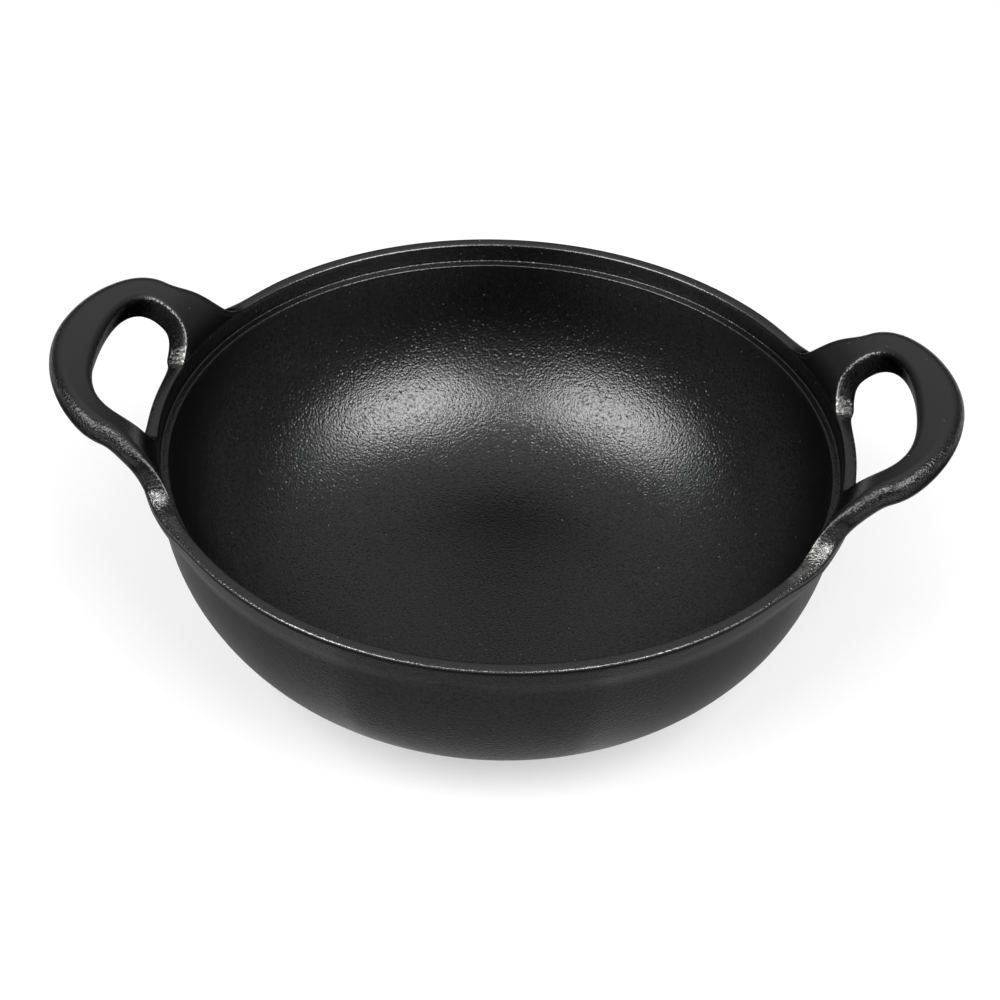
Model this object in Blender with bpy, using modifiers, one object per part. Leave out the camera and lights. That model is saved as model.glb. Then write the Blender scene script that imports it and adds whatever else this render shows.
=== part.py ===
"""Two-handled cast iron stew pot, modelled at its real size in metres, +Z up.

The pot stands on z = 0 with its axis on Z. Its two ear handles lie along X.
The bowl is turned from one profile. Each ear is a thick plate whose inner face
carries on the inside wall of the lip, rises, and flares outward round its
finger hole. Its root saddles the lip and fades out down the outside band.
"""
import bpy
import bmesh
from math import cos, pi, sin
from mathutils import Vector

# Outside of the bowl
RIM_RADIUS = 0.130
POT_HEIGHT = 0.087
BASE_RADIUS = 0.050
BAND_HEIGHT = 0.0095
BAND_DRAFT = 0.0012
BAND_STEP = 0.0018
WALL_ROUNDNESS = 2.25

# Inside of the bowl
LIP_THICKNESS = 0.0048
LEDGE_DEPTH = 0.0080
LEDGE_WIDTH = 0.0033
FLOOR_THICKNESS = 0.0045
FLOOR_RADIUS = 0.047
CAVITY_ROUNDNESS = 2.35

# Rounded edges of the lip and the ledge
LIP_EDGE_RADIUS = 0.0011
LEDGE_EDGE_RADIUS = 0.0007

# Inner face of an ear: upright at the lip, then a quarter ellipse outward
EAR_REACH = 0.0454
EAR_RISE = 0.0306
EAR_START_BELOW_RIM = 0.0008

# Outline of an ear: lengths run out along its inner face from the lip,
# half widths run along the arc of the rim
EAR_LENGTH = 0.0544
EAR_SHOULDER = 0.0280
EAR_HALF_WIDTH = 0.0460
EAR_ROUNDNESS = 1.72
ROOT_HALF_WIDTH = 0.0665
ROOT_FLARE = 1.15

# Outline of the finger hole, measured in the same way
HOLE_LENGTH = 0.0366
HOLE_SHOULDER = 0.0144
HOLE_HALF_WIDTH = 0.0340
HOLE_ROUNDNESS = 3.6
HOLE_ROOT_HALF_WIDTH = 0.0225
HOLE_FLARE = 1.9

# Thickness of an ear, the draft of its cast edges and their rounding
EAR_THICKNESS = 0.0110
ROOT_THICKNESS = 0.0070
PAD_THICKNESS = 0.0014
ROOT_EDGE_DRAFT = 0.0030
TIP_EDGE_DRAFT = 0.0010
HOLE_EDGE_DRAFT = 0.0017
OUTER_EDGE_RADIUS = 0.0034
HOLE_EDGE_RADIUS = 0.0013

# Gap that keeps the separate solids apart
FIT_GAP = 0.0003

# Fineness of the meshes
TURN_STEPS = 80
WALL_POINTS = 14
ARC_POINTS = 4
EAR_STATIONS = 49
FACE_POINTS = 2
SHEET_SAMPLES = 240
OUTLINE_SAMPLES = 400

CAST_IRON_COLOUR = (0.055, 0.055, 0.056, 1.0)
CAST_IRON_ROUGHNESS = 0.5
CAST_IRON_METALLIC = 0.6

LIP_INNER_RADIUS = RIM_RADIUS - LIP_THICKNESS
LEDGE_INNER_RADIUS = LIP_INNER_RADIUS - LEDGE_WIDTH
LEDGE_Z = POT_HEIGHT - LEDGE_DEPTH
BAND_BOTTOM_Z = POT_HEIGHT - BAND_HEIGHT
BAND_BOTTOM_RADIUS = RIM_RADIUS - BAND_DRAFT
EAR_START_Z = POT_HEIGHT - EAR_START_BELOW_RIM
EAR_PAD_DEPTH = EAR_START_Z - BAND_BOTTOM_Z


def clear_scene():
    for old in list(bpy.data.objects):
        bpy.data.objects.remove(old, do_unlink=True)


def new_collection(name):
    collection = bpy.data.collections.new(name)
    bpy.context.scene.collection.children.link(collection)
    return collection


def cast_iron(name):
    """Seasoned black iron, dull, with a faint sheen."""
    material = bpy.data.materials.new(name)
    material.use_nodes = True
    shader = material.node_tree.nodes["Principled BSDF"]
    shader.inputs["Base Color"].default_value = CAST_IRON_COLOUR
    shader.inputs["Roughness"].default_value = CAST_IRON_ROUGHNESS
    shader.inputs["Metallic"].default_value = CAST_IRON_METALLIC
    material.diffuse_color = CAST_IRON_COLOUR
    return material


def quarter_arc(centre, radius, start, end):
    """Points of an arc in the r, z plane between two angles in radians."""
    points = []
    for i in range(ARC_POINTS + 1):
        angle = start + (end - start) * i / ARC_POINTS
        points.append((centre[0] + radius * cos(angle), centre[1] + radius * sin(angle)))
    return points


def bowl_curve(foot, top, roundness):
    """Points of a bowl wall from its flat foot up to its top, as a superellipse."""
    points = []
    for i in range(WALL_POINTS + 1):
        angle = 0.5 * pi * i / WALL_POINTS
        r = foot[0] + (top[0] - foot[0]) * sin(angle) ** (2 / roundness)
        z = foot[1] + (top[1] - foot[1]) * (1 - cos(angle))
        points.append((r, z))
    return points


def bowl_profile():
    """From the middle of the floor, up the inside, over the lip and down to the base."""
    cavity_foot = (FLOOR_RADIUS, FLOOR_THICKNESS)
    cavity_top = (LEDGE_INNER_RADIUS, LEDGE_Z - LEDGE_EDGE_RADIUS)
    ledge_centre = (LEDGE_INNER_RADIUS + LEDGE_EDGE_RADIUS, LEDGE_Z - LEDGE_EDGE_RADIUS)
    lip_in_centre = (LIP_INNER_RADIUS + LIP_EDGE_RADIUS, POT_HEIGHT - LIP_EDGE_RADIUS)
    lip_out_centre = (RIM_RADIUS - LIP_EDGE_RADIUS, POT_HEIGHT - LIP_EDGE_RADIUS)
    wall_top = (BAND_BOTTOM_RADIUS - BAND_STEP, BAND_BOTTOM_Z - BAND_STEP)
    profile = [(0, FLOOR_THICKNESS)]
    profile += bowl_curve(cavity_foot, cavity_top, CAVITY_ROUNDNESS)
    profile += quarter_arc(ledge_centre, LEDGE_EDGE_RADIUS, pi, 0.5 * pi)[1:]
    profile.append((LIP_INNER_RADIUS, LEDGE_Z))
    profile += quarter_arc(lip_in_centre, LIP_EDGE_RADIUS, pi, 0.5 * pi)
    profile += quarter_arc(lip_out_centre, LIP_EDGE_RADIUS, 0.5 * pi, 0)
    profile.append((BAND_BOTTOM_RADIUS, BAND_BOTTOM_Z))
    profile += reversed(bowl_curve((BASE_RADIUS, 0), wall_top, WALL_ROUNDNESS))
    profile.append((0, 0))
    return profile


def turned(name, profile, collection, closed=False):
    """An object turned round Z from a profile of r, z points."""
    mesh = bpy.data.meshes.new(name)
    count = len(profile)
    edges = [(i, i + 1) for i in range(count - 1)]
    if closed:
        edges.append((count - 1, 0))
    mesh.from_pydata([(r, 0, z) for r, z in profile], edges, [])
    obj = bpy.data.objects.new(name, mesh)
    collection.objects.link(obj)
    screw = obj.modifiers.new("turn", "SCREW")
    screw.axis = "Z"
    screw.steps = TURN_STEPS
    screw.render_steps = TURN_STEPS
    screw.use_merge_vertices = True
    screw.merge_threshold = 0.00001
    screw.use_smooth_shade = True
    return obj


def sheet_curve():
    """Inner face of an ear in the r, z plane: points with their length along it.

    Below the start the face runs straight down the lip, at negative lengths.
    """
    samples = [(-EAR_PAD_DEPTH, LIP_INNER_RADIUS, BAND_BOTTOM_Z)]
    length = 0
    last = Vector((LIP_INNER_RADIUS, EAR_START_Z))
    for i in range(SHEET_SAMPLES + 1):
        angle = 0.6 * pi * i / SHEET_SAMPLES
        r = LIP_INNER_RADIUS + EAR_REACH * (1 - cos(angle))
        z = EAR_START_Z + EAR_RISE * sin(angle)
        point = Vector((r, z))
        length += (point - last).length
        samples.append((length, r, z))
        last = point
    return samples


def on_sheet(samples, length):
    """Point of the inner face at a length along it, and the way out of its far side."""
    k = 1
    while k < len(samples) - 1 and samples[k][0] < length:
        k += 1
    low, high = samples[k - 1], samples[k]
    share = (length - low[0]) / (high[0] - low[0])
    point = Vector((low[1] + (high[1] - low[1]) * share, low[2] + (high[2] - low[2]) * share))
    along = Vector((high[1] - low[1], high[2] - low[2])).normalized()
    return point, Vector((along.y, -along.x))


def half_outline(end, shoulder, half_width, roundness, root_half_width, flare):
    """Length and half width of an outline from its root to its tip, evenly spaced."""
    raw = [(-EAR_PAD_DEPTH, root_half_width)]
    for i in range(OUTLINE_SAMPLES):
        length = shoulder * i / OUTLINE_SAMPLES
        spread = (root_half_width - half_width) * (1 - length / shoulder) ** flare
        raw.append((length, half_width + spread))
    for i in range(OUTLINE_SAMPLES + 1):
        angle = 0.5 * pi * i / OUTLINE_SAMPLES
        length = shoulder + (end - shoulder) * sin(angle) ** (2 / roundness)
        raw.append((length, half_width * max(cos(angle), 0) ** (2 / roundness)))
    steps = [0]
    for a, b in zip(raw, raw[1:]):
        steps.append(steps[-1] + (Vector(b) - Vector(a)).length)
    points = []
    k = 1
    count = (EAR_STATIONS + 1) // 2
    for i in range(count):
        target = steps[-1] * i / (count - 1)
        while k < len(steps) - 1 and steps[k] < target:
            k += 1
        share = (target - steps[k - 1]) / (steps[k] - steps[k - 1])
        points.append(Vector(raw[k - 1]).lerp(Vector(raw[k]), share))
    return points


def mirrored(points):
    """A half outline carried on down its other side."""
    return points + [Vector((p.x, -p.y)) for p in reversed(points[:-1])]


def plate_thickness(length):
    """Thickness of the ear plate at a length along its inner face."""
    if length < 0:
        pad_end = BAND_BOTTOM_RADIUS - LIP_INNER_RADIUS + PAD_THICKNESS
        return ROOT_THICKNESS + (pad_end - ROOT_THICKNESS) * -length / EAR_PAD_DEPTH
    share = min(length / HOLE_LENGTH, 1)
    return ROOT_THICKNESS + (EAR_THICKNESS - ROOT_THICKNESS) * share


def edge_draft(length):
    """How much the far side of the outer edge falls back, at a length along the ear."""
    share = min(max(length / EAR_LENGTH, 0), 1)
    return ROOT_EDGE_DRAFT + (TIP_EDGE_DRAFT - ROOT_EDGE_DRAFT) * share


def section_outline(width, thickness, draft):
    """One section of the plate: distance across it from the hole edge, and depth.

    The corners are rounded, and both edges lean with the draft of the casting.
    """
    hole_round = min(HOLE_EDGE_RADIUS, 0.3 * width)
    outer_round = min(OUTER_EDGE_RADIUS, 0.3 * width, 0.45 * thickness)
    corners = (
        (width - outer_round, outer_round, outer_round, -0.5 * pi),
        (width - outer_round, thickness - outer_round, outer_round, 0),
        (hole_round, thickness - hole_round, hole_round, 0.5 * pi),
        (hole_round, hole_round, hole_round, pi),
    )
    loop = []
    for across, depth, radius, start in corners:
        for i in range(ARC_POINTS + 1):
            angle = start + 0.5 * pi * i / ARC_POINTS
            loop.append((across + radius * cos(angle), depth + radius * sin(angle)))
        if start in (0, pi):
            nearest = loop[-1]
            if start == 0:
                furthest = (hole_round, thickness)
            else:
                furthest = (width - outer_round, 0)
            for i in range(1, FACE_POINTS + 1):
                share = i / (FACE_POINTS + 1)
                loop.append(tuple(a + (b - a) * share for a, b in zip(nearest, furthest)))
    drafted = []
    for across, depth in loop:
        share = depth / thickness
        lean = -HOLE_EDGE_DRAFT + (HOLE_EDGE_DRAFT - draft) * across / width
        drafted.append((across + lean * share, depth))
    return drafted


def ear_mesh(name):
    """The ear on the +X side as a loft of rounded plate sections from root to root."""
    samples = sheet_curve()
    hole = mirrored(half_outline(HOLE_LENGTH, HOLE_SHOULDER, HOLE_HALF_WIDTH,
                                 HOLE_ROUNDNESS, HOLE_ROOT_HALF_WIDTH, HOLE_FLARE))
    edge = mirrored(half_outline(EAR_LENGTH, EAR_SHOULDER, EAR_HALF_WIDTH,
                                 EAR_ROUNDNESS, ROOT_HALF_WIDTH, ROOT_FLARE))
    shape = bmesh.new()
    rings = []
    for inner, outer in zip(hole, edge):
        width = (outer - inner).length
        thickness = plate_thickness(0.5 * (inner.x + outer.x))
        ring = []
        for across, depth in section_outline(width, thickness, edge_draft(outer.x)):
            place = inner.lerp(outer, across / width)
            point, out = on_sheet(samples, place.x)
            point += out * depth * plate_thickness(place.x) / thickness
            angle = place.y / RIM_RADIUS
            ring.append(shape.verts.new((point.x * cos(angle), point.x * sin(angle), point.y)))
        rings.append(ring)
    count = len(rings[0])
    for a, b in zip(rings, rings[1:]):
        for i in range(count):
            j = (i + 1) % count
            shape.faces.new((a[i], a[j], b[j], b[i]))
    shape.faces.new(rings[0])
    shape.faces.new(reversed(rings[-1]))
    bmesh.ops.recalc_face_normals(shape, faces=shape.faces)
    mesh = bpy.data.meshes.new(name)
    shape.to_mesh(mesh)
    shape.free()
    return mesh


def lip_cutter(collection):
    """The space of the lip and its band with the fit gap, cut out of each ear root."""
    lowest = BAND_BOTTOM_Z - ROOT_THICKNESS
    inside = LEDGE_INNER_RADIUS - ROOT_THICKNESS
    edge_centre = (RIM_RADIUS - LIP_EDGE_RADIUS, POT_HEIGHT - LIP_EDGE_RADIUS)
    profile = [(inside, POT_HEIGHT + FIT_GAP)]
    profile += quarter_arc(edge_centre, LIP_EDGE_RADIUS + FIT_GAP, 0.5 * pi, 0)
    profile += [
        (BAND_BOTTOM_RADIUS + FIT_GAP, BAND_BOTTOM_Z),
        (BAND_BOTTOM_RADIUS + FIT_GAP, lowest),
        (inside, lowest),
    ]
    cutter = turned("lip_space", profile, collection, closed=True)
    cutter.hide_render = True
    cutter.display_type = "WIRE"
    return cutter


def build():
    clear_scene()
    parts = new_collection("cast_iron_stew_pot")
    cutters = new_collection("cutters")

    bowl = turned("bowl", bowl_profile(), parts)
    bowl.data.materials.append(cast_iron("bowl_iron"))

    cutter = lip_cutter(cutters)
    ear = ear_mesh("ear")
    ear.materials.append(cast_iron("handle_iron"))
    ear.shade_smooth()
    ear.set_sharp_from_angle(angle=pi / 5)
    for name, turn in (("handle_right", 0), ("handle_left", pi)):
        handle = bpy.data.objects.new(name, ear)
        handle.rotation_euler.z = turn
        parts.objects.link(handle)
        cut = handle.modifiers.new("seat_on_lip", "BOOLEAN")
        cut.operation = "DIFFERENCE"
        cut.solver = "EXACT"
        cut.object = cutter


build()
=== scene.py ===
from math import atan2, cos, pi, radians, sin

import bmesh
import bpy
from mathutils import Matrix, Quaternion, Vector


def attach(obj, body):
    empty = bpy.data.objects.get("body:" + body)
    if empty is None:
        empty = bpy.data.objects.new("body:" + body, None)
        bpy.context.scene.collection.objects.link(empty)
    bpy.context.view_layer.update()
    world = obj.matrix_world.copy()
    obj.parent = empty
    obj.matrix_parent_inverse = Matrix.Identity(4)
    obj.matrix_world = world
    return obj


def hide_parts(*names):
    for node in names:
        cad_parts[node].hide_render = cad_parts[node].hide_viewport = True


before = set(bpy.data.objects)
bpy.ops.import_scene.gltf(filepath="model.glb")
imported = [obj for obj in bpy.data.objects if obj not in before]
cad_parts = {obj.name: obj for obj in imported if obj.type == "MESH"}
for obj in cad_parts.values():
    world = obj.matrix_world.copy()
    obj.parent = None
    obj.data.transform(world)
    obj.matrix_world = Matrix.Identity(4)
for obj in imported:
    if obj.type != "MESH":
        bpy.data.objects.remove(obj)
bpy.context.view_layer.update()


# The bowl: grey iron poured in a green sand mould. Base, round wall, outside
# band, lip and lid ledge are one casting, so they are turned from one profile.
# A quarter is turned here, and mirrored once its ear is on.
RIM_RADIUS = 0.130
POT_HEIGHT = 0.087
LIP_INNER_RADIUS = 0.1252
LEDGE_RADIUS = 0.1219
LEDGE_Z = 0.079
FLOOR_Z = 0.0045
FLOOR_RADIUS = 0.047
FLOOR_RINGS = (0, 0.012, 0.024, 0.036)
CAVITY_ROUNDNESS = 2.35
CAVITY_END_Z = LEDGE_Z - 0.0035
LIP_EDGE = 0.0010
LIP_OUTER_EDGE = 0.0007
LEDGE_EDGE = 0.0006
LEDGE_FLAT = 0.0016
LIP_RINGS = (0.0015, 0.0035, 0.0054)
# The groove under the lip: its depth, then points as shares of that depth and
# distances below the rim.
GROOVE = 0.0007
GROOVE_SHAPE = ((0.6, 0.0010), (1, 0.0013), (0.7, 0.0017), (0.5, 0.0024))
BAND_FOOT_RADIUS = 0.1283
BAND_FOOT_Z = 0.0782
WALL_TOP_RADIUS = 0.1262
WALL_TOP_Z = 0.0748
WALL_END_Z = 0.0722
BAND_EDGE = 0.0019
BASE_RADIUS = 0.050
WALL_ROUNDNESS = 2.2
WALL_STEPS = 17
CURVE_SAMPLES = 400
# The middle of a quarter round lies this share of its radius in from the corner
# along both sides.
ROUND_MIDDLE = 0.293


def evenly(points, count):
    """Points at even distances along a dense line of them."""
    points = [Vector(p) for p in points]
    lengths = [0]
    for a, b in zip(points, points[1:]):
        lengths.append(lengths[-1] + (b - a).length)
    even = []
    k = 1
    for i in range(count + 1):
        target = lengths[-1] * i / count
        while k < len(lengths) - 1 and lengths[k] < target:
            k += 1
        share = (target - lengths[k - 1]) / (lengths[k] - lengths[k - 1])
        even.append(points[k - 1].lerp(points[k], share))
    return even


def bowl_wall(foot, top, roundness, count):
    """A bowl wall from the flat foot up to its top, in even steps."""
    fine = []
    for i in range(CURVE_SAMPLES + 1):
        turn = 0.5 * pi * i / CURVE_SAMPLES
        fine.append((foot[0] + (top[0] - foot[0]) * sin(turn) ** (2 / roundness),
                     foot[1] + (top[1] - foot[1]) * (1 - cos(turn))))
    return evenly(fine, count)


def rounded(corner, before, after, radius):
    """Three points that round a corner between the ways to its neighbours."""
    corner = Vector(corner)
    way_in = (Vector(before) - corner).normalized()
    way_out = (Vector(after) - corner).normalized()
    middle = corner + (way_in + way_out) * radius * ROUND_MIDDLE
    return [corner + way_in * radius, middle, corner + way_out * radius]


cavity_top = (LEDGE_RADIUS, LEDGE_Z)
ledge_back = (LIP_INNER_RADIUS, LEDGE_Z)
lip_inside = (LIP_INNER_RADIUS, POT_HEIGHT)
lip_outside = (RIM_RADIUS, POT_HEIGHT)
band_foot = (BAND_FOOT_RADIUS, BAND_FOOT_Z)
wall_top = (WALL_TOP_RADIUS, WALL_TOP_Z)

cavity = bowl_wall((FLOOR_RADIUS, FLOOR_Z), (LEDGE_RADIUS, CAVITY_END_Z), CAVITY_ROUNDNESS, WALL_STEPS)
outside = bowl_wall((BASE_RADIUS, 0), (WALL_TOP_RADIUS, WALL_END_Z), WALL_ROUNDNESS, WALL_STEPS)

# The profile runs from the middle of the cavity's floor, over the lip, down the
# outside and back to the middle of the base.
profile = [(ring, FLOOR_Z) for ring in FLOOR_RINGS]
profile += cavity
profile += [(LEDGE_RADIUS, LEDGE_Z - LEDGE_FLAT)]
profile += rounded(cavity_top, cavity[-1], ledge_back, LEDGE_EDGE)
profile += [(LEDGE_RADIUS + LEDGE_FLAT, LEDGE_Z)]
profile += rounded(ledge_back, cavity_top, lip_inside, LEDGE_EDGE)
profile += [(LIP_INNER_RADIUS, LEDGE_Z + ring) for ring in LIP_RINGS]
LIP_START = len(profile)
profile += rounded(lip_inside, ledge_back, lip_outside, LIP_EDGE)
profile += [(0.5 * (LIP_INNER_RADIUS + RIM_RADIUS), POT_HEIGHT)]
profile += rounded(lip_outside, lip_inside, (RIM_RADIUS, 0), LIP_OUTER_EDGE)
LIP_END = len(profile) - 1
profile += [(RIM_RADIUS - share * GROOVE, POT_HEIGHT - drop) for share, drop in GROOVE_SHAPE]
GROOVE_END = len(profile) - 1
profile += [(0.5 * (RIM_RADIUS + BAND_FOOT_RADIUS), 0.5 * (POT_HEIGHT + BAND_FOOT_Z))]
profile += rounded(band_foot, lip_outside, wall_top, BAND_EDGE)
profile += rounded(wall_top, band_foot, outside[-1], BAND_EDGE)
profile += reversed(outside)
profile += [(ring, 0) for ring in reversed(FLOOR_RINGS)]
profile = [Vector(point) for point in profile]

# Columns of the casting by their distance along the rim from the middle of an
# ear: the finger hole, the root of the ear, then the free lip up to the Y axis.
HOLE_ROOT = 0.0225
EAR_ROOT = 0.0720
QUARTER = 0.5 * pi * RIM_RADIUS
HOLE_ARCS = (0, 0.0075, 0.0145, 0.0195)
ROOT_STEPS = 8
BESIDE_EAR = (0.0025, 0.0065, 0.0120)
LIP_STEPS = 15
column_arcs = list(HOLE_ARCS)
ROOT_START = len(column_arcs)
column_arcs += [HOLE_ROOT + (EAR_ROOT - HOLE_ROOT) * i / ROOT_STEPS for i in range(ROOT_STEPS + 1)]
ROOT_END = len(column_arcs) - 1
column_arcs += [EAR_ROOT + run for run in BESIDE_EAR]
last_arc = column_arcs[-1]
column_arcs += [last_arc + (QUARTER - last_arc) * i / LIP_STEPS for i in range(1, LIP_STEPS + 1)]
COLUMNS = len(column_arcs) - 1


def smooth_step(low, high, value):
    """A soft rise from 0 at the low value to 1 at the high one."""
    share = min(max((value - low) / (high - low), 0), 1)
    return share * share * (3 - 2 * share)


# Beside and under an ear the iron is fuller: its wall swells out, and the lip's
# outer edge is rounder.
FAIRING = 0.0025
FAIRING_FOOT_Z = 0.066
FAIRING_TOP_Z = 0.082
FAIRING_START = (0.015, 0.033)
FAIRING_END = (0.060, 0.088)
ROOT_EDGE = 0.0022
ROOT_EDGE_RUN = 0.020


def fairing(arc, z):
    """How far the iron swells out under the root of an ear."""
    along = smooth_step(*FAIRING_START, arc) * (1 - smooth_step(*FAIRING_END, arc))
    return FAIRING * along * smooth_step(FAIRING_FOOT_Z, FAIRING_TOP_Z, z)


def bowl_point(row, column):
    """Where a row of the profile and a column of the casting cross."""
    r, z = profile[row]
    arc = column_arcs[column]
    beside = smooth_step(HOLE_ROOT, EAR_ROOT, arc)
    beside *= 1 - smooth_step(EAR_ROOT, EAR_ROOT + ROOT_EDGE_RUN, arc)
    rounder = (ROOT_EDGE - LIP_OUTER_EDGE) * beside
    if row == LIP_END - 2:
        r -= rounder
    elif row == LIP_END - 1:
        r -= ROUND_MIDDLE * rounder
        z -= ROUND_MIDDLE * rounder
    elif LIP_END <= row <= GROOVE_END:
        z -= rounder
    if row > LIP_START:
        across = min(max((r - LIP_INNER_RADIUS) / (RIM_RADIUS - LIP_INNER_RADIUS), 0), 1)
        if row > LIP_END:
            across = 1
        r += fairing(arc, z) * across
    turn = arc / RIM_RADIUS
    return Vector((r * cos(turn), r * sin(turn), z))


MERGE_DISTANCE = 0.00002
pot = bmesh.new()
row_of = pot.verts.layers.int.new("row")
column_of = pot.verts.layers.int.new("column")
section_of = pot.verts.layers.int.new("section")
line = []
for row, (r, z) in enumerate(profile):
    vert = pot.verts.new((r, 0, z))
    vert[row_of] = row
    line.append(vert)
edges = [pot.edges.new(pair) for pair in zip(line, line[1:])]
bmesh.ops.spin(pot, geom=line + edges, axis=(0, 0, 1), cent=(0, 0, 0),
               angle=0.5 * pi, steps=COLUMNS, use_merge=False)
for vert in pot.verts:
    turn = abs(atan2(vert.co.y, vert.co.x)) if profile[vert[row_of]].x else 0
    vert[column_of] = round(turn / (0.5 * pi) * COLUMNS)
    vert.co = bowl_point(vert[row_of], vert[column_of])


# The ear handles: each is a thick plate cast with the bowl. Its inner face
# carries on the inside of the lip, rises and flares out round the finger hole.
# It is drawn out of the top of the lip here, section by section, to its tip.
EAR_REACH = 0.0454
EAR_RISE = 0.0306
EAR_START_Z = 0.0862
EAR_SWEEP = 0.6 * pi
SWEEP_SAMPLES = 240
EAR_LENGTH = 0.0544
EAR_SHOULDER = 0.0280
EAR_HALF_WIDTH = 0.0465
EAR_ROUNDNESS = 1.76
EAR_FLARE = 1.15
EAR_FLANK = 0.0660
EAR_SWELL = 0.0012
FILLET_HEIGHT = 0.0045
HOLE_LENGTH = 0.0362
HOLE_SHOULDER = 0.0144
HOLE_HALF_WIDTH = 0.0340
HOLE_ROUNDNESS = 3.6
HOLE_FLARE = 1.9
ROOT_THICKNESS = 0.0070
EAR_THICKNESS = 0.0110
ROOT_DRAFT = 0.0040
TIP_DRAFT = 0.0010
HOLE_DRAFT = 0.0017
EAR_EDGE = 0.0042
HOLE_EDGE = 0.0014
HOLE_TIP_EDGE = 0.0022
HOLE_TIP_START = 0.024
EDGE_GROWTH = (0.003, 0.026)
EDGE_OF_WIDTH = 0.3
EDGE_OF_THICKNESS = 0.45
EAR_SECTIONS = 24

sheet = [(0, LIP_INNER_RADIUS, EAR_START_Z)]
for i in range(1, SWEEP_SAMPLES + 1):
    turn = EAR_SWEEP * i / SWEEP_SAMPLES
    spot = (LIP_INNER_RADIUS + EAR_REACH * (1 - cos(turn)), EAR_START_Z + EAR_RISE * sin(turn))
    step_length = (Vector(spot) - Vector(sheet[-1][1:])).length
    sheet.append((sheet[-1][0] + step_length, *spot))


def on_sheet(length):
    """A point of the ear's inner face, and the way through the plate from it."""
    k = 1
    while k < len(sheet) - 1 and sheet[k][0] < length:
        k += 1
    low, high = sheet[k - 1], sheet[k]
    share = (length - low[0]) / (high[0] - low[0])
    spot = Vector(low[1:]).lerp(Vector(high[1:]), share)
    along = (Vector(high[1:]) - Vector(low[1:])).normalized()
    return spot, Vector((along.y, -along.x))


def half_outline(end, shoulder, half_width, roundness, root, flare, swell, foot):
    """Half of an outline from its root to its tip: length up the ear, half width."""
    fine = []
    for i in range(CURVE_SAMPLES):
        length = shoulder * i / CURVE_SAMPLES
        width = half_width + (root - half_width) * (1 - length / shoulder) ** flare
        width -= swell * sin(2 * pi * length / shoulder)
        width += foot * max(1 - length / FILLET_HEIGHT, 0) ** 3
        fine.append((length, width))
    for i in range(CURVE_SAMPLES + 1):
        turn = 0.5 * pi * i / CURVE_SAMPLES
        fine.append((shoulder + (end - shoulder) * sin(turn) ** (2 / roundness),
                     half_width * max(cos(turn), 0) ** (2 / roundness)))
    return evenly(fine, EAR_SECTIONS)


hole_line = half_outline(HOLE_LENGTH, HOLE_SHOULDER, HOLE_HALF_WIDTH, HOLE_ROUNDNESS,
                         HOLE_ROOT, HOLE_FLARE, 0, 0)
ear_line = half_outline(EAR_LENGTH, EAR_SHOULDER, EAR_HALF_WIDTH, EAR_ROUNDNESS,
                        EAR_FLANK, EAR_FLARE, EAR_SWELL, EAR_ROOT - EAR_FLANK)


def plate_thickness(length):
    """The plate is thin at its root and thickens up to the end of the hole."""
    return ROOT_THICKNESS + (EAR_THICKNESS - ROOT_THICKNESS) * min(max(length / HOLE_LENGTH, 0), 1)


def ear_point(section, column, row):
    """A point of one section of the plate: columns run across it, rows through it."""
    inner, outer = hole_line[section], ear_line[section]
    width = (outer - inner).length
    thickness = plate_thickness(0.5 * (inner.x + outer.x))
    at_tip = smooth_step(HOLE_TIP_START, HOLE_LENGTH, inner.x)
    near = min(HOLE_EDGE + (HOLE_TIP_EDGE - HOLE_EDGE) * at_tip, EDGE_OF_WIDTH * width)
    grown = smooth_step(*EDGE_GROWTH, outer.x)
    far = LIP_EDGE + (EAR_EDGE - LIP_EDGE) * grown
    far = min(far, EDGE_OF_WIDTH * width, EDGE_OF_THICKNESS * thickness)
    far_back = min(ROOT_EDGE + (EAR_EDGE - ROOT_EDGE) * grown, EDGE_OF_THICKNESS * thickness)
    across = near + (width - far - near) * (column - ROOT_START) / (ROOT_END - ROOT_START)
    step = row - LIP_START
    if column == ROOT_START:
        corner, way, edge, back = 0, 1, near, near
    else:
        corner, way, edge, back = width, -1, far, far_back
    depths = (0, ROUND_MIDDLE * edge, edge, 0.5 * thickness,
              thickness - back, thickness - ROUND_MIDDLE * back, thickness)
    depth = depths[step]
    if column in (ROOT_START, ROOT_END):
        insets = (edge, ROUND_MIDDLE * edge, 0, 0, 0, ROUND_MIDDLE * back, back)
        across = corner + way * insets[step]
    share = depth / thickness
    draft = ROOT_DRAFT + (TIP_DRAFT - ROOT_DRAFT) * min(outer.x / EAR_LENGTH, 1)
    across += (-HOLE_DRAFT + (HOLE_DRAFT - draft) * across / width) * share
    place = inner.lerp(outer, across / width)
    spot, out = on_sheet(place.x)
    spot += out * depth * plate_thickness(place.x) / thickness
    turn = place.y / RIM_RADIUS
    return Vector((spot.x * cos(turn), spot.x * sin(turn), spot.y))


root_rows = range(LIP_START, LIP_END + 1)
root_columns = range(ROOT_START, ROOT_END + 1)
drawn = [face for face in pot.faces
         if all(v[row_of] in root_rows and v[column_of] in root_columns for v in face.verts)]
for section in range(1, EAR_SECTIONS + 1):
    new = bmesh.ops.extrude_face_region(pot, geom=drawn)["geom"]
    bmesh.ops.delete(pot, geom=drawn, context="FACES")
    drawn = [item for item in new if isinstance(item, bmesh.types.BMFace)]
    for vert in new:
        if isinstance(vert, bmesh.types.BMVert):
            vert.co = ear_point(section, vert[column_of], vert[row_of])
            vert[section_of] = section
bmesh.ops.delete(pot, geom=drawn, context="FACES")

for axis in ("Y", "X"):
    bmesh.ops.mirror(pot, geom=pot.verts[:] + pot.edges[:] + pot.faces[:],
                     matrix=Matrix.Identity(4), merge_dist=MERGE_DISTANCE, axis=axis)

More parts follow.
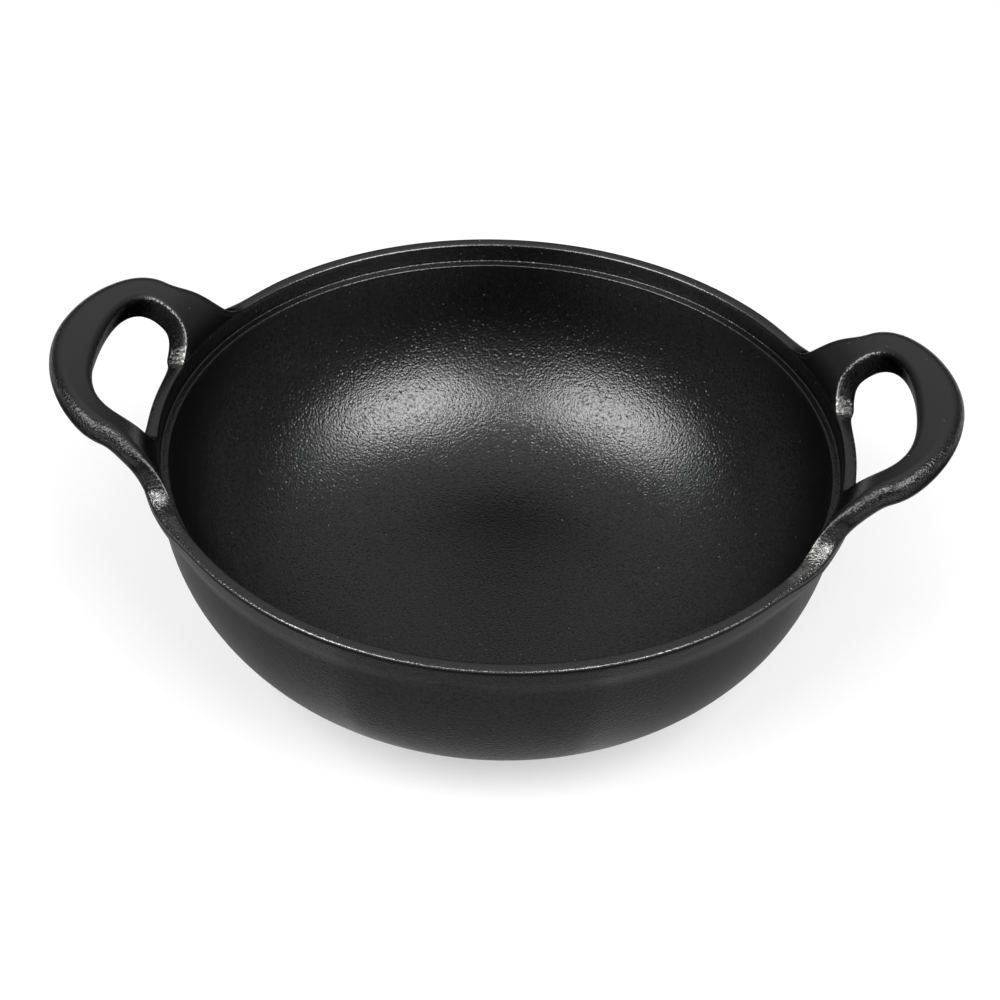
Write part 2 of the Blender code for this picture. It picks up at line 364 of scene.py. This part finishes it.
# How the finish changes over the casting: edges rubbed by hands, coarse grain where
# the sand was rough, and a dull skin, which is rougher and also darker. That darkness
# is painted shade: on the outside, the edges and backs of the ears and the finger
# holes it stands for the darker surroundings they reflect, and at the roots of the
# ears and in the groove under the lip for the shade there. The tuples hold the
# seven rows from the inner to the outer face of the lip or of the plate.
INSIDE_COARSE = 0.45
INSIDE_DULL = 0.34
OUTSIDE_COARSE = 0.3
OUTSIDE_DULL_AND_SHADE = 0.9
FRONT_COARSE = 0.75
FRONT_RUN = (0.120, 0.170)
FACE_COARSE = 0.12
FACE_ROOT_SHADE = 0.3
BACK_COARSE = 0.6
BACK_DULL_AND_SHADE = 0.95
SHADE_RUN = (1, 10)
ROOT_SECTIONS = 3
NECK_SECTION = 6
NECK_REACH = 5
NECK_HIGHLIGHT_WEAR = 0.12
TIP_START = 0.029
LIP_RUB = 0.65
LIP_RUB_COARSE = 0.5
LIP_RUB_RUN = 0.018
LIP_WORN_RUN = (0.095, 0.150)
hole_wear = (0.1, 0.34, 0.25, 0.25, 0.25, 0.25, 0)
hole_root_wear = (0.2, 0.6, 0.55, 0.5, 0.45, 0.3, 0.1)
hole_coarse = (0.2, 0.6, 1.2, 1.5, 1.5, 1.0, 0.6)
hole_dull_and_shade = (0, 0.4, 0.95, 1, 1, 1, 0.95)
hole_tip_dull_and_shade = (0.45, 0.9, 1, 1, 1, 1, 0.95)
edge_wear = (0, 0.16, 0, 0, 0, 0, 0)
edge_root_wear = (0, 0.5, 0.45, 0.6, 0.65, 0.5, 0)
edge_coarse = (0.2, 0.7, 1.2, 1.4, 1.4, 1.0, 0.6)
edge_dull_and_shade = (0.15, 0.55, 0.7, 0.7, 0.7, 0.9, 0.95)
lip_wear = (0.05, 0.35, 0.05, 0, 0.05, 0.6, 0.1)
lip_coarse = (0.3, 0.3, 0.25, 0.25, 0.4, 0.6, 0.6)
# The last row of the lip leads into the painted shade of the groove.
lip_groove_shade = (0, 0, 0, 0, 0, 0, 0.8)


def finish(row, column, section, front):
    """How worn, coarse and dull the iron is at a vertex; a dull skin is also darkened as painted shade."""
    step = row - LIP_START
    arc = column_arcs[column]
    if section and column == ROOT_START:
        if hole_line[section].x > TIP_START:
            return 0, hole_coarse[step], hole_tip_dull_and_shade[step]
        wear = hole_root_wear if section <= ROOT_SECTIONS else hole_wear
        return wear[step], hole_coarse[step], hole_dull_and_shade[step]
    if section and column == ROOT_END:
        wear = edge_root_wear if section <= ROOT_SECTIONS and front else edge_wear
        # Around the neck of the ear the corner line gets more flecks of bare iron, a painted highlight, and
        # the rest of the edge band is darker, painted shade.
        neck = max(1 - abs(section - NECK_SECTION) / NECK_REACH, 0)
        if step == 1:
            return wear[step] + NECK_HIGHLIGHT_WEAR * neck, edge_coarse[step], edge_dull_and_shade[step]
        return wear[step], edge_coarse[step], max(edge_dull_and_shade[step], BACK_DULL_AND_SHADE * neck)
    if section:
        if step:
            return 0, BACK_COARSE, BACK_DULL_AND_SHADE
        # Painted shade: the inner face of the ear is darker near its root at the lip, and clears further up
        # the ear.
        shade = (FACE_ROOT_SHADE if front else BACK_DULL_AND_SHADE) * (1 - smooth_step(*SHADE_RUN, section))
        return 0, FACE_COARSE, shade
    if row < LIP_START:
        return 0, INSIDE_COARSE, INSIDE_DULL
    if row <= LIP_END:
        near_ear = 1 - smooth_step(EAR_ROOT, EAR_ROOT + LIP_RUB_RUN, arc)
        if not front or column < ROOT_END:
            near_ear = 0
        rubbed = LIP_RUB * near_ear if 1 < step < 5 else 0
        worn = lip_wear[step] * smooth_step(*LIP_WORN_RUN, arc)
        return max(worn, rubbed), max(lip_coarse[step], LIP_RUB_COARSE * near_ear), lip_groove_shade[step]
    # Painted shade: the groove under the lip gets the dullest, darkest skin, a dark line under the rim.
    if row < GROOVE_END:
        return 0, OUTSIDE_COARSE, 1
    # The outside wall: coarser towards the front, and dull, its darker colour painted shade.
    return 0, OUTSIDE_COARSE + FRONT_COARSE * smooth_step(*FRONT_RUN, arc), OUTSIDE_DULL_AND_SHADE


worn_of = pot.verts.layers.float.new("worn")
coarse_of = pot.verts.layers.float.new("coarse")
dull_and_shade_of = pot.verts.layers.float.new("dull_and_shade")
for vert in pot.verts:
    look = finish(vert[row_of], vert[column_of], vert[section_of], vert.co.y < 0)
    vert[worn_of], vert[coarse_of], vert[dull_and_shade_of] = look

bmesh.ops.remove_doubles(pot, verts=pot.verts, dist=MERGE_DISTANCE)
bmesh.ops.recalc_face_normals(pot, faces=pot.faces)
casting_mesh = bpy.data.meshes.new("pot_casting")
pot.to_mesh(casting_mesh)
pot.free()
casting_mesh.shade_smooth()
casting = bpy.data.objects.new("pot_casting", casting_mesh)
bpy.context.scene.collection.objects.link(casting)
skin = casting.modifiers.new("cast_skin", "SUBSURF")
skin.levels = 1
skin.render_levels = 1
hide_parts("bowl", "handle_left", "handle_right")
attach(casting, "root")


# Its skin: sand cast iron, black from oil baked on in thin coats. The sand
# leaves a fine grain that glints where it faces the light, and the oil leaves a
# dull sheen on top of it.
def linear(hex_colour):
    """The linear colour of an sRGB hex value."""
    parts = [int(hex_colour[i:i + 2], 16) / 255 for i in (1, 3, 5)]
    return (*[c / 12.92 if c <= 0.04045 else ((c + 0.055) / 1.055) ** 2.4 for c in parts], 1)


def node(tree, kind, settings=None, **inputs):
    """Adds a node: its settings, then its inputs as numbers or as links."""
    new = tree.nodes.new(kind)
    for name, value in (settings or {}).items():
        setattr(new, name, value)
    for name, value in inputs.items():
        key = int(name[1:]) if name[0] == "i" and name[1:].isdigit() else name.replace("_", " ")
        if isinstance(value, bpy.types.NodeSocket):
            tree.links.new(value, new.inputs[key])
        else:
            new.inputs[key].default_value = value
    return new


def mapped(tree, value, low, high, to_low, to_high):
    """A value moved from one range to another, kept inside it."""
    return node(tree, "ShaderNodeMapRange", Value=value, From_Min=low, From_Max=high,
                To_Min=to_low, To_Max=to_high).outputs["Result"]


def sum_of(tree, operation, first, second):
    """Two values put together, with a maths operation."""
    return node(tree, "ShaderNodeMath", {"operation": operation}, i0=first, i1=second).outputs[0]


def blend(tree, share, first, second):
    """A colour between two others."""
    return node(tree, "ShaderNodeMix", {"data_type": "RGBA"}, i0=share, i6=first, i7=second).outputs[2]


def attribute(tree, name):
    """A value that the mesh carries at its vertices."""
    return node(tree, "ShaderNodeAttribute", {"attribute_name": name}).outputs["Fac"]


def per_metre(millimetres):
    """How many cells of a pattern of this size lie along a metre."""
    return float(round(1000 / millimetres))


GRAIN_MM = 0.909
PATCH_MM = 31.25
KNOB_MM = 1.316
RUB_MM = 1.25
SPECK_MM = 3.333
GRAIN_DEPTH = 0.00042
BARE_IRON = "#9c9c9a"
OILED_SKIN = "#646464"
DULL_SHADED_SKIN = "#1a1a1a"
PIT = "#0c0c0c"
SHEEN = "#e8e8e8"
HIDDEN_SHEEN = "#606060"

iron = bpy.data.materials.new("seasoned_cast_iron")
iron.use_nodes = True
tree = iron.node_tree
shader = tree.nodes["Principled BSDF"]
place = node(tree, "ShaderNodeTexCoord").outputs["Object"]
worn = attribute(tree, "worn")
coarse = attribute(tree, "coarse")
dull_and_shade = attribute(tree, "dull_and_shade")

# Sand grain: a skin of grains just under 1 mm, deeper in some patches of the
# mould, mostly outside. It gives the highlights their broken, glinting edge.
# Grain finer than this is too fine to show, and is left to the roughness.
grain = node(tree, "ShaderNodeTexNoise", Vector=place, Scale=per_metre(GRAIN_MM), Detail=2.0, Roughness=0.5)
grain = grain.outputs["Fac"]
patch = node(tree, "ShaderNodeTexNoise", Vector=place, Scale=per_metre(PATCH_MM), Detail=2.0, Roughness=0.5)
patch = patch.outputs["Fac"]
more_outside = mapped(tree, dull_and_shade, 0.5, 0.9, 1.0, 6.0)
uneven = sum_of(tree, "MULTIPLY", sum_of(tree, "SUBTRACT", patch, 0.5), more_outside)
depth = sum_of(tree, "MULTIPLY", mapped(tree, uneven, -0.8, 1.0, 0.2, 2.0), coarse)
height = sum_of(tree, "MULTIPLY", sum_of(tree, "SUBTRACT", grain, 0.5), depth)

# Single raised grains on the coarser skin, each of its own height. They carry
# the glints out into the dark round a highlight.
knob = node(tree, "ShaderNodeTexVoronoi", Vector=place, Scale=per_metre(KNOB_MM))
own_height = node(tree, "ShaderNodeSeparateXYZ", Vector=knob.outputs["Color"]).outputs["Y"]
own_height = mapped(tree, own_height, 0.1, 1.0, 0.0, 0.36)
raised = sum_of(tree, "MULTIPLY", own_height, mapped(tree, coarse, 0.2, 0.45, 0.0, 1.0))
raised = sum_of(tree, "MULTIPLY", mapped(tree, knob.outputs["Distance"], 0.05, 0.5, 1.0, 0.0), raised)
height = sum_of(tree, "ADD", height, raised)
bump = node(tree, "ShaderNodeBump", Height=height, Distance=GRAIN_DEPTH, Strength=1.0)
tree.links.new(bump.outputs["Normal"], shader.inputs["Normal"])

# Where hands and tools have rubbed the seasoning thin, bare iron shows in
# flecks. Inside, stray grains of sand left a few matt specks that look light.
rub = node(tree, "ShaderNodeTexNoise", Vector=place, Scale=per_metre(RUB_MM), Detail=3.0, Roughness=0.7)
rub = rub.outputs["Fac"]
rub = sum_of(tree, "MULTIPLY", rub, mapped(tree, patch, 0.35, 0.65, 0.6, 1.15))
rub = mapped(tree, sum_of(tree, "MULTIPLY", rub, worn), 0.16, 0.40, 0.0, 1.0)
cell = node(tree, "ShaderNodeTexVoronoi", Vector=place, Scale=per_metre(SPECK_MM))
dot = mapped(tree, cell.outputs["Distance"], 0.04, 0.09, 0.6, 0.0)
chosen = node(tree, "ShaderNodeSeparateXYZ", Vector=cell.outputs["Color"]).outputs["X"]
speck = sum_of(tree, "MULTIPLY", dot, mapped(tree, chosen, 0.6, 1.0, 0.0, 1.0))
speck = sum_of(tree, "MULTIPLY", speck, mapped(tree, dull_and_shade, 0.35, 0.6, 1.0, 0.0))
bare = sum_of(tree, "MAXIMUM", rub, speck)

# Between the grains the oil has baked to a darker black.
pits = mapped(tree, grain, 0.34, 0.56, 0.4, 0.0)
pits = sum_of(tree, "MULTIPLY", pits, mapped(tree, coarse, 0.15, 0.45, 0.0, 1.0))
# Where the skin is dull it is darker too: painted shade.
skin_colour = blend(tree, dull_and_shade, linear(OILED_SKIN), linear(DULL_SHADED_SKIN))
skin_colour = blend(tree, pits, skin_colour, linear(PIT))
tree.links.new(blend(tree, bare, skin_colour, linear(BARE_IRON)), shader.inputs["Base Color"])
tree.links.new(mapped(tree, speck, 0.0, 0.4, 1.0, 0.0), shader.inputs["Metallic"])

# Deep grain hides the sheen that smooth iron has in a low view, and a dull skin
# spreads the highlights wider.
deep = mapped(tree, coarse, 0.91, 1.45, 0.0, 1.0)
tree.links.new(blend(tree, deep, linear(SHEEN), linear(HIDDEN_SHEEN)), shader.inputs["Specular Tint"])
spread = sum_of(tree, "SUBTRACT", dull_and_shade, sum_of(tree, "MULTIPLY", coarse, 0.6))
tree.links.new(mapped(tree, spread, 0.05, 0.7, 0.236, 0.50), shader.inputs["Roughness"])
casting_mesh.materials.append(iron)


# The studio: a plain pale floor, two soft boxes in front of the pot at its left
# and right, and dim white walls. The camera sees the far floor and the walls as
# white paper, and the floor round the pot keeps its shadow.
FLOOR_HALF_SIDE = 6
FLOOR_GLOW = 0.5
FAR_FLOOR = (0.7, 2.0)
WALL_LIGHT = (0.02, 0.51)
floor_mesh = bpy.data.meshes.new("floor")
sheet_of_floor = bmesh.new()
bmesh.ops.create_grid(sheet_of_floor, x_segments=1, y_segments=1, size=FLOOR_HALF_SIDE)
sheet_of_floor.to_mesh(floor_mesh)
sheet_of_floor.free()
floor = bpy.data.objects.new("floor", floor_mesh)
bpy.context.scene.collection.objects.link(floor)

# White paper: matt, so all that it shows is the soft shadow of the pot.
paper = bpy.data.materials.new("white_paper")
paper.use_nodes = True
tree = paper.node_tree
shader = tree.nodes["Principled BSDF"]
shader.inputs["Base Color"].default_value = linear("#b4b4b4")
shader.inputs["Roughness"].default_value = 1.0
shader.inputs["Specular IOR Level"].default_value = 0.0
shader.inputs["Emission Color"].default_value = (1, 1, 1, 1)
rays = node(tree, "ShaderNodeLightPath")
seen = sum_of(tree, "MAXIMUM", rays.outputs["Is Camera Ray"], rays.outputs["Is Glossy Ray"])
seen = sum_of(tree, "MAXIMUM", seen, rays.outputs["Is Transmission Ray"])
spot = node(tree, "ShaderNodeTexCoord").outputs["Object"]
from_pot = node(tree, "ShaderNodeVectorMath", {"operation": "LENGTH"}, i0=spot).outputs["Value"]
far_glow = mapped(tree, from_pot, *FAR_FLOOR, 0.0, FLOOR_GLOW)
far_glow = sum_of(tree, "MULTIPLY", rays.outputs["Is Camera Ray"], far_glow)
glow = sum_of(tree, "ADD", sum_of(tree, "MULTIPLY", seen, FLOOR_GLOW), far_glow)
tree.links.new(glow, shader.inputs["Emission Strength"])
floor_mesh.materials.append(paper)

world = bpy.data.worlds.new("studio")
world.use_nodes = True
tree = world.node_tree
way = node(tree, "ShaderNodeTexCoord").outputs["Generated"]
high = node(tree, "ShaderNodeSeparateXYZ", Vector=way).outputs["Z"]
level = mapped(tree, high, 0.0, 1.0, *WALL_LIGHT)
level = sum_of(tree, "MAXIMUM", level, node(tree, "ShaderNodeLightPath").outputs["Is Camera Ray"])
tree.nodes["Background"].inputs["Color"].default_value = (1, 1, 1, 1)
tree.links.new(level, tree.nodes["Background"].inputs["Strength"])
bpy.context.scene.world = world

POT_MIDDLE = Vector((0, 0, 0.05))
BOX_WIDTH = 1.3
BOX_HEIGHT = 1.0
BOX_DISTANCE = 1.7
for name, azimuth, rise, power in (("left_box", -140, 46, 27), ("right_box", -37.5, 48.5, 28)):
    lamp = bpy.data.lights.new(name, "AREA")
    lamp.shape = "RECTANGLE"
    lamp.size = BOX_WIDTH
    lamp.size_y = BOX_HEIGHT
    lamp.energy = power
    box = bpy.data.objects.new(name, lamp)
    turn = radians(azimuth)
    rise = radians(rise)
    way = Vector((cos(turn) * cos(rise), sin(turn) * cos(rise), sin(rise)))
    box.location = POT_MIDDLE + way * BOX_DISTANCE
    box.rotation_mode = "QUATERNION"
    box.rotation_quaternion = way.to_track_quat("Z", "Y")
    bpy.context.scene.collection.objects.link(box)

scene = bpy.context.scene
scene.view_settings.view_transform = "Standard"
AIM = Vector((0.00027, 0.00002, 0.0526))
CAMERA_DISTANCE = 0.8
CAMERA_LENS = 76.23
CAMERA_SENSOR = 36
CAMERA_TURN = 0.06
CAMERA_RISE = radians(39.03)
CAMERA_ROLL = radians(2.28)
view = bpy.data.cameras.new("camera")
view.sensor_width = CAMERA_SENSOR
view.lens = CAMERA_LENS
camera = bpy.data.objects.new("camera", view)
back = Vector((cos(CAMERA_RISE) * sin(CAMERA_TURN), -cos(CAMERA_RISE) * cos(CAMERA_TURN),
               sin(CAMERA_RISE)))
camera.location = AIM + back * CAMERA_DISTANCE
camera.rotation_mode = "QUATERNION"
camera.rotation_quaternion = back.to_track_quat("Z", "Y") @ Quaternion((0, 0, 1), CAMERA_ROLL)
scene.collection.objects.link(camera)
scene.camera = camera
